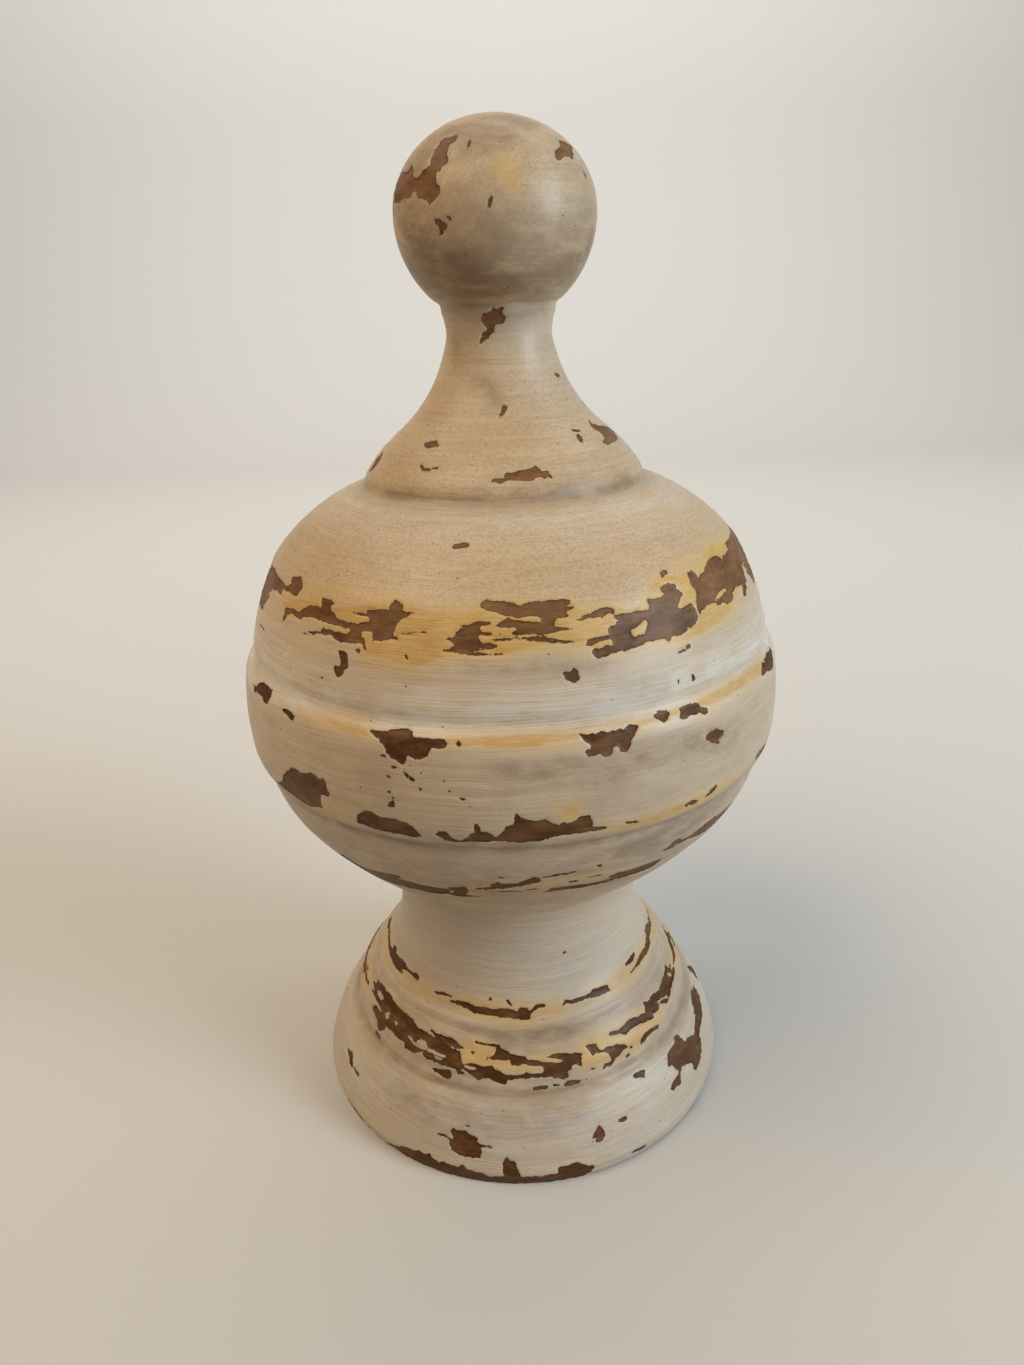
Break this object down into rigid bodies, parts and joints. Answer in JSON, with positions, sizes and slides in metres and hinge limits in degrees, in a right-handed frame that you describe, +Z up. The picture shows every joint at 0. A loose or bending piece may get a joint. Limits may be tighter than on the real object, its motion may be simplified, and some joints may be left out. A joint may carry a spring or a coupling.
{
  "type": "finial",
  "caption": "Turned wooden finial: a ball on a slender neck over a domed, banded globe and a flared foot, with flat underside and worn layered paint.",
  "frame": {"origin": "centre of the flat round underside that the finial stands on", "axes": "+Z up along the turning axis, from the foot to the ball; the side seen in the picture faces -Y, with +X to its right"},
  "size_m": [0.168, 0.168, 0.3061],
  "materials": {
    "painted_wood": "satin, cream paint worn through to ochre and dark brown"
  },
  "bodies": {
    "root": {"finial": "painted_wood"}
  },
  "joints": []
}
